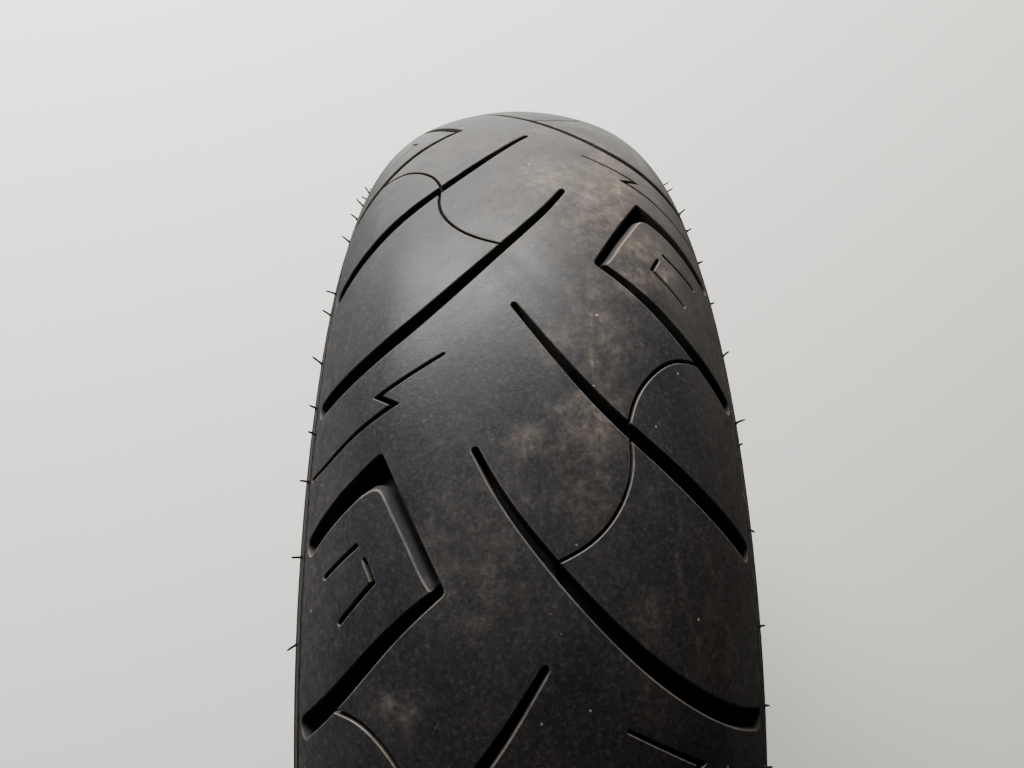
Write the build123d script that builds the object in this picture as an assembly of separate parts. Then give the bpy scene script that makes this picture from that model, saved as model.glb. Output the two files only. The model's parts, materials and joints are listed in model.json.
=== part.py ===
"""Bias-belted motorcycle tire, built up as the separate layers and inserts of its casing.

The spin axis is Y and the centre of the tire is the origin. A cross-section is described by
two coordinates: `a`, the distance from the middle plane, and `r`, the distance from the axis.
Angles in a section are measured at an arc's centre, from the outward radial direction
towards the side of the tire. Lengths are in millimetres and angles in degrees.
"""
import math
import os
from build123d import *

# Outer shape of the section
OUTER_RADIUS = 326.0
CROWN_RADIUS = 135.0
CROWN_END = 20.0
SHOULDER_RADIUS = 66.0
SHOULDER_END = 72.0
UPPER_WALL_RADIUS = 48.0
LOWER_WALL_RADIUS = 65.0
WIDEST = 90.0

# Rim interface
BEAD_SEAT_RADIUS = 190.1
RIM_HALF_WIDTH = 50.8
HEEL_RADIUS = 3.0
FLANGE_FILLET = 8.0

# Layer thicknesses
PLY = 1.0
LINER = 1.5
BREAKER = 1.2
UNDERTREAD = 1.5
CHAFER = 1.2
WALL_AT_FLANGE = 1.3
RUBBER_OVER_CROWN = 12.4
RUBBER_AT_WIDEST = 4.0

# Casing line, which is the outside of the outer ply
CASING_SHOULDER_RADIUS = 37.0
CASING_WIDEST_R = 256.0
CASING_LOWER_RADIUS = 39.1
CASING_BEAD_RADIUS = 17.0

# Bead bundle
BUNDLE_WIDTH = 8.0
BUNDLE_HEIGHT = 6.6
BUNDLE_CORNER = 1.5
WIRE_RADIUS = 0.8
WIRE_PITCH = 1.9
WIRE_COLUMNS = 4
WIRE_ROWS = 3

# Where layers end, as section angles
BREAKER_1_END = 39.0
BREAKER_2_END = 35.5
EDGE_STRIP_TOP = 38.5
EDGE_STRIP_END = 43.0
UNDERTREAD_TOP = 41.5
UNDERTREAD_END = 46.0
TREAD_END_OUTSIDE = 66.0
TREAD_END_INSIDE = 62.0
CHAFER_TOP = 145.0
PLY_1_TURN_UP_END = 134.0
PLY_2_TURN_UP_END = 124.0
LINER_END_R = 197.0

# Toe strip
TOE_TOP_R = 201.0
TOE_TIP_R = 191.2
TOE_DROP = 0.6
TOE_REACH = 1.9
TOE_TIP_REACH = 2.7

# Rib just above the rim flange
RIB_ANGLE = 138.0
RIB_HALF_SPAN = 1.3
RIB_HEIGHT = 0.8
RIB_ROOT = 0.4

# Tread pattern
PITCHES = 8
PITCH_LENGTH = 2 * math.pi * OUTER_RADIUS / PITCHES
RIGHT_START = -130.0
LEFT_START = RIGHT_START - PITCH_LENGTH / 2
GROOVE_DEPTH = 7.0
GROOVE_END_DEPTH = 4.0
SIPE_DEPTH = 4.0
FULL_DEPTH_TO = 60.0
GROOVE_REACH = 94.0
WALL_DRAFT = math.tan(math.radians(6.0))
LEAST_FLOOR_SHARE = 1 / 3
CUTTER_RISE = 2.5

# Half widths of the grooves and sipes
GROOVE_TIP = 1.4
GROOVE_MOUTH = 4.0
CROSS_TOP = 3.0
CROSS_FOOT = 2.3
HOOK_TIP = 1.9
SIPE = 0.9
SIPE_TIP = 0.6
JOG = 1.1

# Vent spews
SPEW_RADIUS = 0.4
SPEW_LENGTH = 4.0
SPEW_REACH = 98.5
SPEWS_PER_PITCH = 4
SPEW_STAGGER = 3.0
SPEW_SCATTER = math.radians(137.5)


def polar(centre, radius, angle):
    """Section point at an angle on an arc."""
    phi = math.radians(angle)
    return (centre[0] + radius * math.sin(phi), centre[1] + radius * math.cos(phi))


def between(centre, target):
    """Section angle of the direction from one section point to another."""
    return math.degrees(math.atan2(target[0] - centre[0], target[1] - centre[1]))


def tangent_drop(span, radii, reach):
    """Distance in r between the centres of two touching arcs that lie `reach` apart in a.

    `span` and `radii` are the two radii, and the arcs bulge towards each other.
    """
    return math.sqrt((span + radii) ** 2 - reach ** 2)


def spot(point):
    """A section point placed in the YZ plane."""
    return Vector(0, point[0], point[1])


def arc(centre, radius, start, stop):
    """Arc edge between two section angles."""
    middle = polar(centre, radius, (start + stop) / 2)
    first = polar(centre, radius, start)
    last = polar(centre, radius, stop)
    return ThreePointArc(spot(first), spot(middle), spot(last))


def straight(first, last):
    """Line edge between two section points."""
    return Line(spot(first), spot(last))


# Centres of the outer arcs, each tangent to the one before it
CROWN_C = (0.0, OUTER_RADIUS - CROWN_RADIUS)
SHOULDER_C = polar(CROWN_C, CROWN_RADIUS - SHOULDER_RADIUS, CROWN_END)
UPPER_WALL_C = polar(SHOULDER_C, SHOULDER_RADIUS - UPPER_WALL_RADIUS, SHOULDER_END)
HALF_WIDTH = UPPER_WALL_C[0] + UPPER_WALL_RADIUS
LOWER_WALL_C = (HALF_WIDTH - LOWER_WALL_RADIUS, UPPER_WALL_C[1])
FILLET_A = RIM_HALF_WIDTH + FLANGE_FILLET
FILLET_R = LOWER_WALL_C[1] - tangent_drop(
    LOWER_WALL_RADIUS, FLANGE_FILLET, FILLET_A - LOWER_WALL_C[0]
)
FILLET_C = (FILLET_A, FILLET_R)
FLANGE_TANGENT = between(LOWER_WALL_C, FILLET_C)
FILLET_TANGENT = between(FILLET_C, LOWER_WALL_C)

# Depths of the turned-up layers below the outer surface at the flange
PLY_1_DEPTH = CHAFER + WALL_AT_FLANGE
PLY_2_DEPTH = PLY_1_DEPTH + PLY
CORE_DEPTH = PLY_2_DEPTH + PLY

# Bead bundle corners
CORE_OUT = RIM_HALF_WIDTH - CORE_DEPTH
CORE_IN = CORE_OUT - BUNDLE_WIDTH
CORE_LOW = BEAD_SEAT_RADIUS + CHAFER + 2 * PLY
CORE_HIGH = CORE_LOW + BUNDLE_HEIGHT
CORNER_R = CORE_LOW + BUNDLE_CORNER
CORNER_IN_C = (CORE_IN + BUNDLE_CORNER, CORNER_R)
CORNER_OUT_C = (CORE_OUT - BUNDLE_CORNER, CORNER_R)

# Casing line: crown arc tangent to the shoulder arc, both fixed by the rubber outside them
CASING_TOP = OUTER_RADIUS - RUBBER_OVER_CROWN
CASING_WIDEST_A = HALF_WIDTH - RUBBER_AT_WIDEST
CASING_SHOULDER_C = (CASING_WIDEST_A - CASING_SHOULDER_RADIUS, CASING_WIDEST_R)
CASING_DROP = CASING_TOP - CASING_WIDEST_R
CASING_CROWN_RADIUS = (
    CASING_SHOULDER_C[0] ** 2 + CASING_DROP ** 2 - CASING_SHOULDER_RADIUS ** 2
) / (2 * (CASING_DROP - CASING_SHOULDER_RADIUS))
CASING_CROWN_C = (0.0, CASING_TOP - CASING_CROWN_RADIUS)
CASING_CROWN_END = between(CASING_CROWN_C, CASING_SHOULDER_C)
CASING_LOWER_C = (CASING_WIDEST_A - CASING_LOWER_RADIUS, CASING_WIDEST_R)
CASING_BEAD_A = CORE_IN + CASING_BEAD_RADIUS
CASING_BEAD_R = CASING_WIDEST_R - tangent_drop(
    CASING_LOWER_RADIUS, CASING_BEAD_RADIUS, CASING_BEAD_A - CASING_LOWER_C[0]
)
CASING_BEAD_C = (CASING_BEAD_A, CASING_BEAD_R)
CASING_LOWER_END = between(CASING_LOWER_C, CASING_BEAD_C)
CASING_BEAD_START = between(CASING_BEAD_C, CASING_LOWER_C)
CORE_TIP = polar(LOWER_WALL_C, LOWER_WALL_RADIUS - CORE_DEPTH, PLY_2_TURN_UP_END)
CASING_AT_TIP = between(CASING_LOWER_C, CORE_TIP)


def casing_body(off, down_to):
    """Edges of the casing line moved `off` towards the air, from the crown down to a bead."""
    crown = arc(CASING_CROWN_C, CASING_CROWN_RADIUS - off, 0, CASING_CROWN_END)
    shoulder = arc(CASING_SHOULDER_C, CASING_SHOULDER_RADIUS - off, CASING_CROWN_END, WIDEST)
    lower = arc(CASING_LOWER_C, CASING_LOWER_RADIUS - off, WIDEST, CASING_LOWER_END)
    bead = arc(CASING_BEAD_C, CASING_BEAD_RADIUS + off, CASING_BEAD_START, -WIDEST)
    inside = straight((CORE_IN - off, CASING_BEAD_R), (CORE_IN - off, down_to))
    return [crown, shoulder, lower, bead, inside]


def bead_turn(off):
    """Edges of the casing line moved `off` outwards, round the bottom of the bead bundle."""
    inner = arc(CORNER_IN_C, BUNDLE_CORNER + off, -90, -180)
    base_r = CORE_LOW - off
    base = straight((CORNER_IN_C[0], base_r), (CORNER_OUT_C[0], base_r))
    outer = arc(CORNER_OUT_C, BUNDLE_CORNER + off, 180, 90)
    return [inner, base, outer]


def turn_up(depth, up_from, stop):
    """Edges at a depth below the outer surface, from the bead up to a section angle."""
    side = straight((RIM_HALF_WIDTH - depth, up_from), (RIM_HALF_WIDTH - depth, FILLET_R))
    fillet = arc(FILLET_C, FLANGE_FILLET + depth, -90, FILLET_TANGENT)
    wall = arc(LOWER_WALL_C, LOWER_WALL_RADIUS - depth, FLANGE_TANGENT, stop)
    return [side, fillet, wall]


def ply_face(inner_off, stop):
    """Half-section of one ply, from the crown round the bead to the end of its turn-up."""
    outer_off = inner_off + PLY
    near_depth = CORE_DEPTH - inner_off
    far_depth = CORE_DEPTH - outer_off
    near = casing_body(inner_off, CORNER_R) + bead_turn(inner_off)
    near += turn_up(near_depth, CORNER_R, stop)
    far = casing_body(outer_off, CORNER_R) + bead_turn(outer_off)
    far += turn_up(far_depth, CORNER_R, stop)
    tip = straight(
        polar(LOWER_WALL_C, LOWER_WALL_RADIUS - near_depth, stop),
        polar(LOWER_WALL_C, LOWER_WALL_RADIUS - far_depth, stop),
    )
    crown = straight((0, CASING_TOP - inner_off), (0, CASING_TOP - outer_off))
    return make_face(near + far + [tip, crown])


def crown_band(low, high, stop):
    """Half-section of a belt lying on the casing crown between two heights."""
    low_radius = CASING_CROWN_RADIUS + low
    high_radius = CASING_CROWN_RADIUS + high
    return make_face([
        arc(CASING_CROWN_C, low_radius, 0, stop),
        straight(polar(CASING_CROWN_C, low_radius, stop), polar(CASING_CROWN_C, high_radius, stop)),
        arc(CASING_CROWN_C, high_radius, stop, 0),
        straight((0, CASING_TOP + high), (0, CASING_TOP + low)),
    ])


def whole(half_face):
    """Ring from a half-section and its mirror image."""
    section = half_face + mirror(half_face, about=Plane.XZ)
    return revolve(section, Axis.Y, 360)


def one_side(half_face):
    """Ring from a half-section on the right side only."""
    return revolve(half_face, Axis.Y, 360)


BELT_1_TOP = CASING_CROWN_RADIUS + BREAKER
BELT_2_TOP = BELT_1_TOP + BREAKER
BASE_TOP = BELT_2_TOP + UNDERTREAD


def liner_face():
    """Half-section of the inner liner."""
    near = casing_body(2 * PLY, LINER_END_R)
    far = casing_body(2 * PLY + LINER, LINER_END_R)
    end = straight((CORE_IN - 2 * PLY, LINER_END_R), (CORE_IN - 2 * PLY - LINER, LINER_END_R))
    crown = straight((0, CASING_TOP - 2 * PLY), (0, CASING_TOP - 2 * PLY - LINER))
    return make_face(near + far + [end, crown])


def edge_strip_face():
    """Section of the strip that covers the stepped edges of the two breaker belts."""
    return make_face([
        arc(CASING_CROWN_C, BELT_2_TOP, BREAKER_2_END, EDGE_STRIP_TOP),
        straight(
            polar(CASING_CROWN_C, BELT_2_TOP, EDGE_STRIP_TOP),
            polar(CASING_CROWN_C, CASING_CROWN_RADIUS, EDGE_STRIP_END),
        ),
        arc(CASING_CROWN_C, CASING_CROWN_RADIUS, EDGE_STRIP_END, BREAKER_1_END),
        straight(
            polar(CASING_CROWN_C, CASING_CROWN_RADIUS, BREAKER_1_END),
            polar(CASING_CROWN_C, BELT_1_TOP, BREAKER_1_END),
        ),
        arc(CASING_CROWN_C, BELT_1_TOP, BREAKER_1_END, BREAKER_2_END),
        straight(
            polar(CASING_CROWN_C, BELT_1_TOP, BREAKER_2_END),
            polar(CASING_CROWN_C, BELT_2_TOP, BREAKER_2_END),
        ),
    ])


def undertread_face():
    """Half-section of the base rubber over the belts."""
    return make_face([
        arc(CASING_CROWN_C, BELT_2_TOP, 0, EDGE_STRIP_TOP),
        straight(
            polar(CASING_CROWN_C, BELT_2_TOP, EDGE_STRIP_TOP),
            polar(CASING_CROWN_C, CASING_CROWN_RADIUS, EDGE_STRIP_END),
        ),
        arc(CASING_CROWN_C, CASING_CROWN_RADIUS, EDGE_STRIP_END, UNDERTREAD_END),
        straight(
            polar(CASING_CROWN_C, CASING_CROWN_RADIUS, UNDERTREAD_END),
            polar(CASING_CROWN_C, BASE_TOP, UNDERTREAD_TOP),
        ),
        arc(CASING_CROWN_C, BASE_TOP, UNDERTREAD_TOP, 0),
        straight(
            polar(CASING_CROWN_C, BASE_TOP, 0),
            polar(CASING_CROWN_C, BELT_2_TOP, 0),
        ),
    ])


def tread_face():
    """Half-section of the tread rubber before its grooves are cut."""
    return make_face([
        arc(CROWN_C, CROWN_RADIUS, 0, CROWN_END),
        arc(SHOULDER_C, SHOULDER_RADIUS, CROWN_END, TREAD_END_OUTSIDE),
        straight(
            polar(SHOULDER_C, SHOULDER_RADIUS, TREAD_END_OUTSIDE),
            polar(CASING_SHOULDER_C, CASING_SHOULDER_RADIUS, TREAD_END_INSIDE),
        ),
        arc(CASING_SHOULDER_C, CASING_SHOULDER_RADIUS, TREAD_END_INSIDE, CASING_CROWN_END),
        arc(CASING_CROWN_C, CASING_CROWN_RADIUS, CASING_CROWN_END, UNDERTREAD_END),
        straight(
            polar(CASING_CROWN_C, CASING_CROWN_RADIUS, UNDERTREAD_END),
            polar(CASING_CROWN_C, BASE_TOP, UNDERTREAD_TOP),
        ),
        arc(CASING_CROWN_C, BASE_TOP, UNDERTREAD_TOP, 0),
        straight(polar(CASING_CROWN_C, BASE_TOP, 0), (0, OUTER_RADIUS)),
    ])


def sidewall_face():
    """Section of one sidewall, from the tread edge down to the bead."""
    ply_1_outer = LOWER_WALL_RADIUS - PLY_1_DEPTH
    ply_2_outer = LOWER_WALL_RADIUS - PLY_2_DEPTH
    skin = [
        arc(SHOULDER_C, SHOULDER_RADIUS, TREAD_END_OUTSIDE, SHOULDER_END),
        arc(UPPER_WALL_C, UPPER_WALL_RADIUS, SHOULDER_END, WIDEST),
        arc(LOWER_WALL_C, LOWER_WALL_RADIUS, WIDEST, CHAFER_TOP),
        straight(
            polar(LOWER_WALL_C, LOWER_WALL_RADIUS, CHAFER_TOP),
            polar(LOWER_WALL_C, LOWER_WALL_RADIUS - CHAFER, CHAFER_TOP),
        ),
    ]
    foot = turn_up(CHAFER, CORNER_R, CHAFER_TOP)
    foot.append(straight(
        (RIM_HALF_WIDTH - CHAFER, CORNER_R),
        (RIM_HALF_WIDTH - PLY_1_DEPTH, CORNER_R),
    ))
    back = turn_up(PLY_1_DEPTH, CORNER_R, PLY_1_TURN_UP_END)
    back += [
        straight(
            polar(LOWER_WALL_C, ply_1_outer, PLY_1_TURN_UP_END),
            polar(LOWER_WALL_C, ply_2_outer, PLY_1_TURN_UP_END),
        ),
        arc(LOWER_WALL_C, ply_2_outer, PLY_1_TURN_UP_END, PLY_2_TURN_UP_END),
        straight(polar(LOWER_WALL_C, ply_2_outer, PLY_2_TURN_UP_END), CORE_TIP),
        straight(CORE_TIP, polar(CASING_LOWER_C, CASING_LOWER_RADIUS, CASING_AT_TIP)),
        arc(CASING_LOWER_C, CASING_LOWER_RADIUS, CASING_AT_TIP, WIDEST),
        arc(CASING_SHOULDER_C, CASING_SHOULDER_RADIUS, WIDEST, TREAD_END_INSIDE),
        straight(
            polar(CASING_SHOULDER_C, CASING_SHOULDER_RADIUS, TREAD_END_INSIDE),
            polar(SHOULDER_C, SHOULDER_RADIUS, TREAD_END_OUTSIDE),
        ),
    ]
    return make_face(skin + foot + back)


def rib_face():
    """Section of the raised rib that shows whether the tire sits evenly on its rim."""
    low = LOWER_WALL_RADIUS - RIB_ROOT
    high = LOWER_WALL_RADIUS + RIB_HEIGHT
    first = RIB_ANGLE - RIB_HALF_SPAN
    last = RIB_ANGLE + RIB_HALF_SPAN
    top_first = RIB_ANGLE - RIB_HALF_SPAN / 2
    top_last = RIB_ANGLE + RIB_HALF_SPAN / 2
    return make_face([
        arc(LOWER_WALL_C, low, first, last),
        straight(polar(LOWER_WALL_C, low, last), polar(LOWER_WALL_C, high, top_last)),
        arc(LOWER_WALL_C, high, top_last, top_first),
        straight(polar(LOWER_WALL_C, high, top_first), polar(LOWER_WALL_C, low, first)),
    ])


def core_face():
    """Section inside the outer ply's loop: the bead bundle and the filler above it."""
    lower_end = polar(CASING_LOWER_C, CASING_LOWER_RADIUS, CASING_AT_TIP)
    edges = [
        arc(CASING_LOWER_C, CASING_LOWER_RADIUS, CASING_AT_TIP, CASING_LOWER_END),
        arc(CASING_BEAD_C, CASING_BEAD_RADIUS, CASING_BEAD_START, -WIDEST),
        straight((CORE_IN, CASING_BEAD_R), (CORE_IN, CORNER_R)),
    ]
    edges += bead_turn(0)
    edges += turn_up(CORE_DEPTH, CORNER_R, PLY_2_TURN_UP_END)
    edges.append(straight(CORE_TIP, lower_end))
    return make_face(edges)


def below(face, height):
    """The part of a section face that lies inside a radius."""
    span = 2 * HALF_WIDTH
    block = make_face([
        straight((0, height), (span, height)),
        straight((span, height), (span, height - span)),
        straight((span, height - span), (0, height - span)),
        straight((0, height - span), (0, height)),
    ])
    return face & block


def above(face, height):
    """The part of a section face that lies outside a radius."""
    span = 2 * HALF_WIDTH
    block = make_face([
        straight((0, height), (span, height)),
        straight((span, height), (span, height + span)),
        straight((span, height + span), (0, height + span)),
        straight((0, height + span), (0, height)),
    ])
    return face & block


def chafer_face():
    """Section of the abrasion strip round one bead."""
    toe_a = CORE_IN - 2 * PLY - CHAFER
    inner_a = CORE_IN - 2 * PLY
    heel_c = (RIM_HALF_WIDTH - HEEL_RADIUS, BEAD_SEAT_RADIUS + HEEL_RADIUS)
    outside = turn_up(0, heel_c[1], CHAFER_TOP)
    outside += [
        arc(heel_c, HEEL_RADIUS, 90, 180),
        straight((heel_c[0], BEAD_SEAT_RADIUS), (toe_a, BEAD_SEAT_RADIUS)),
        straight((toe_a, BEAD_SEAT_RADIUS), (toe_a, LINER_END_R)),
        straight((toe_a, LINER_END_R), (inner_a, LINER_END_R)),
        straight((inner_a, LINER_END_R), (inner_a, CORNER_R)),
    ]
    inside = bead_turn(2 * PLY)
    inside.append(straight(
        (RIM_HALF_WIDTH - PLY_1_DEPTH, CORNER_R),
        (RIM_HALF_WIDTH - CHAFER, CORNER_R),
    ))
    inside += turn_up(CHAFER, CORNER_R, CHAFER_TOP)
    inside.append(straight(
        polar(LOWER_WALL_C, LOWER_WALL_RADIUS - CHAFER, CHAFER_TOP),
        polar(LOWER_WALL_C, LOWER_WALL_RADIUS, CHAFER_TOP),
    ))
    return make_face(outside + inside)


def toe_face():
    """Section of the soft lip on the inner edge of one bead."""
    chafer_a = CORE_IN - 2 * PLY - CHAFER
    liner_a = CORE_IN - 2 * PLY - LINER
    corners = [
        (chafer_a, BEAD_SEAT_RADIUS),
        (chafer_a, LINER_END_R),
        (liner_a, LINER_END_R),
        (liner_a, TOE_TOP_R),
        (chafer_a - TOE_TIP_REACH, TOE_TIP_R),
        (chafer_a - TOE_REACH, BEAD_SEAT_RADIUS - TOE_DROP),
    ]
    edges = []
    for index, corner in enumerate(corners):
        edges.append(straight(corner, corners[(index + 1) % len(corners)]))
    return make_face(edges)


def wire_hoops():
    """Steel hoops of one bead, in rows and columns inside the bundle."""
    first_a = (CORE_IN + CORE_OUT) / 2 - WIRE_PITCH * (WIRE_COLUMNS - 1) / 2
    first_r = (CORE_LOW + CORE_HIGH) / 2 - WIRE_PITCH * (WIRE_ROWS - 1) / 2
    hoops = []
    for column in range(WIRE_COLUMNS):
        for row in range(WIRE_ROWS):
            radius = first_r + row * WIRE_PITCH
            place = Pos(0, first_a + column * WIRE_PITCH, 0) * Rot(90, 0, 0)
            hoops.append(place * Torus(radius, WIRE_RADIUS))
    return hoops


def surface_frame(u, v, side):
    """Point, outward normal and two tangents of the outer surface at pattern coordinates.

    `u` is the arc length from the centre line towards the side, `v` the length round the
    crown, and `side` is 1 for the right half and -1 for the left.
    """
    crown_arc = CROWN_RADIUS * math.radians(CROWN_END)
    reach = abs(u)
    if reach <= crown_arc:
        phi = math.degrees(reach / CROWN_RADIUS)
        point = polar(CROWN_C, CROWN_RADIUS, phi)
    else:
        phi = CROWN_END + math.degrees((reach - crown_arc) / SHOULDER_RADIUS)
        point = polar(SHOULDER_C, SHOULDER_RADIUS, phi)
    sign = side * (1 if u >= 0 else -1)
    theta = v / OUTER_RADIUS
    radial = Vector(math.sin(theta), 0, math.cos(theta))
    around = Vector(math.cos(theta), 0, -math.sin(theta))
    axial = Vector(0, sign, 0)
    tilt = math.radians(phi)
    normal = axial * math.sin(tilt) + radial * math.cos(tilt)
    across = (axial * math.cos(tilt) - radial * math.sin(tilt)) * (side * sign)
    place = axial * point[0] + radial * point[1]
    return place, normal, across, around * (point[1] / OUTER_RADIUS)


def depth_at(u, deepest):
    """Groove depth, which eases off towards the shoulder."""
    reach = (abs(u) - FULL_DEPTH_TO) / (GROOVE_REACH - FULL_DEPTH_TO)
    share = min(max(reach, 0.0), 1.0)
    return deepest - share * (GROOVE_DEPTH - GROOVE_END_DEPTH) * deepest / GROOVE_DEPTH


def groove_section(u, v, du, dv, half, depth, side):
    """Four-sided cross-section of a groove at one point of its centre line."""
    place, normal, across, around = surface_frame(u, v, side)
    along = across * du + around * dv
    lateral = along.cross(normal).normalized()
    foot = max(half - depth * WALL_DRAFT, half * LEAST_FLOOR_SHARE)
    brow = half + CUTTER_RISE * WALL_DRAFT
    top = place + normal * CUTTER_RISE
    bottom = place - normal * depth
    return Polyline(
        top - lateral * brow, top + lateral * brow,
        bottom + lateral * foot, bottom - lateral * foot, close=True,
    )


def groove(points, start_half, end_half, deepest, side, origin, steps):
    """Cutter that follows a smooth line through pattern points."""
    knots = [(p[0], p[1], 0) for p in points]
    line = Spline(*knots) if len(knots) > 2 else Line(knots[0], knots[1])
    sections = []
    for step in range(steps + 1):
        share = step / steps
        station = line @ share
        heading = line % share
        half = start_half + (end_half - start_half) * share
        sections.append(groove_section(
            station.X, station.Y + origin, heading.X, heading.Y, half,
            depth_at(station.X, deepest), side,
        ))
    wires = [Wire(section.edges()) for section in sections]
    return Solid.make_loft(wires, ruled=len(wires) == 2)


# Centre lines of one pitch of the pattern, from the line's start to its end
LONG_GROOVE = [(-18, 0), (-10, 15), (0, 29.5), (20, 53), (50, 79), (80, 93.5), (93, 97)]
SHORT_GROOVE = [(-4, -58), (10, -37), (30, -13), (50, 4.5), (70, 20), (92, 34)]
FRONT_SIPE = [(70, -42), (59, -40), (47, -31.5), (39, -20), (35, -8)]
REAR_SIPE = [(35.7, -4), (35.5, 5), (31, 18.5), (20, 31.5), (6, 39)]
ZIGZAG_IN = [(29.8, 89.5), (55.6, 103)]
ZIGZAG_JOG = [(56.6, 102.2), (47.4, 107.8)]
ZIGZAG_OUT = [(48.4, 107.4), (70, 118.5), (84, 125), (97, 127)]
HOOK_ARM = [(93, -98), (52, -126)]
HOOK_CROSS = [(54.5, -128), (29.5, -80)]
HOOK_FOOT = [(29, -82.5), (44, -70), (60, -54.5), (76, -40.5), (92, -29.5)]
BLOCK_SIPE = [(61, -98), (77.5, -87.3)]
BLOCK_HOOK_SHORT = [(57.5, -93), (53, -84)]
BLOCK_HOOK_LONG = [(52.8, -85.8), (68, -71.3)]


def pitch_cutters(side, origin):
    """Every cutter of one pitch on one side.

    Each is given its half width at the start and the end, its depth, and into how many
    stretches its line is divided.
    """
    return [
        groove(LONG_GROOVE, GROOVE_TIP, GROOVE_MOUTH, GROOVE_DEPTH, side, origin, 6),
        groove(SHORT_GROOVE, GROOVE_TIP, GROOVE_MOUTH, GROOVE_DEPTH, side, origin, 6),
        groove(FRONT_SIPE, SIPE, SIPE_TIP, SIPE_DEPTH, side, origin, 5),
        groove(REAR_SIPE, SIPE_TIP, SIPE_TIP, SIPE_DEPTH, side, origin, 5),
        groove(ZIGZAG_IN, SIPE_TIP, SIPE, SIPE_DEPTH, side, origin, 1),
        groove(ZIGZAG_JOG, JOG, JOG, SIPE_DEPTH, side, origin, 1),
        groove(ZIGZAG_OUT, SIPE, SIPE_TIP, SIPE_DEPTH, side, origin, 4),
        groove(HOOK_ARM, GROOVE_MOUTH, GROOVE_MOUTH, GROOVE_DEPTH, side, origin, 3),
        groove(HOOK_CROSS, CROSS_TOP, CROSS_FOOT, GROOVE_DEPTH, side, origin, 3),
        groove(HOOK_FOOT, HOOK_TIP, GROOVE_MOUTH, GROOVE_DEPTH, side, origin, 4),
        groove(BLOCK_SIPE, SIPE, SIPE, SIPE_DEPTH, side, origin, 1),
        groove(BLOCK_HOOK_SHORT, SIPE, SIPE, SIPE_DEPTH, side, origin, 1),
        groove(BLOCK_HOOK_LONG, SIPE, SIPE, SIPE_DEPTH, side, origin, 1),
    ]


def grooved_tread():
    """Tread ring with every pitch of the pattern cut into both halves."""
    cutters = []
    for side, start in ((1, RIGHT_START), (-1, LEFT_START)):
        for pitch in range(PITCHES):
            cutters += pitch_cutters(side, start + pitch * PITCH_LENGTH)
    return whole(tread_face()) - cutters


def spews(side):
    """Thin moulding hairs standing on one shoulder."""
    pins = []
    count = PITCHES * SPEWS_PER_PITCH
    for index in range(count):
        scatter = math.sin(index * SPEW_SCATTER)
        round_crown = index * 2 * math.pi * OUTER_RADIUS / count + SPEW_STAGGER * scatter
        place, normal, across, around = surface_frame(SPEW_REACH + scatter, round_crown, side)
        length = SPEW_LENGTH + scatter / 2
        pin = Cylinder(SPEW_RADIUS, length, align=(Align.CENTER, Align.CENTER, Align.MIN))
        pins.append(Plane(origin=place, z_dir=normal) * pin)
    return Compound(children=pins)


def flipped(shape):
    """Mirror image on the other side of the middle plane."""
    return mirror(shape, about=Plane.XZ)


def write(name, shape):
    """Save one node."""
    export_step(shape, os.path.join("parts", name + ".step"))


def write_pair(name, shape):
    """Save a node of the right side and its mirror image."""
    write(name + "_right", shape)
    write(name + "_left", flipped(shape))


def main():
    """Build and save every node."""
    os.makedirs("parts", exist_ok=True)
    write("inner_liner", whole(liner_face()))
    write("body_ply_1", whole(ply_face(PLY, PLY_1_TURN_UP_END)))
    write("body_ply_2", whole(ply_face(0.0, PLY_2_TURN_UP_END)))
    write("breaker_belt_1", whole(crown_band(0, BREAKER, BREAKER_1_END)))
    write("breaker_belt_2", whole(crown_band(BREAKER, 2 * BREAKER, BREAKER_2_END)))
    write("undertread", whole(undertread_face()))
    write("tread", grooved_tread())
    write_pair("belt_edge_strip", one_side(edge_strip_face()))
    write_pair("sidewall", one_side(sidewall_face()) + one_side(rib_face()))
    write_pair("bead_filler", one_side(above(core_face(), CORE_HIGH)))
    write_pair("chafer", one_side(chafer_face()))
    write_pair("toe_strip", one_side(toe_face()))
    hoops = wire_hoops()
    write_pair("bead_wrap", one_side(below(core_face(), CORE_HIGH)) - hoops)
    write_pair("bead_wires", Compound(children=hoops))
    for side, name in ((1, "vent_spews_right"), (-1, "vent_spews_left")):
        write(name, spews(side))


main()
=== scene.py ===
"""Looks of the motorcycle tire: grooved tread, sidewalls, moulding hairs, materials and studio.

Lengths are worked out in millimetres and turned into metres when a mesh is made. The spin axis
is Y. On the tread, `t` is the arc length from the centre line towards the right and `s` the
length round the crown, and `d` is a depth below the outer surface.
"""
import json
import math
import random
import bpy
import numpy as np
from mathutils import Matrix, Vector
from mathutils.geometry import delaunay_2d_cdt


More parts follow.
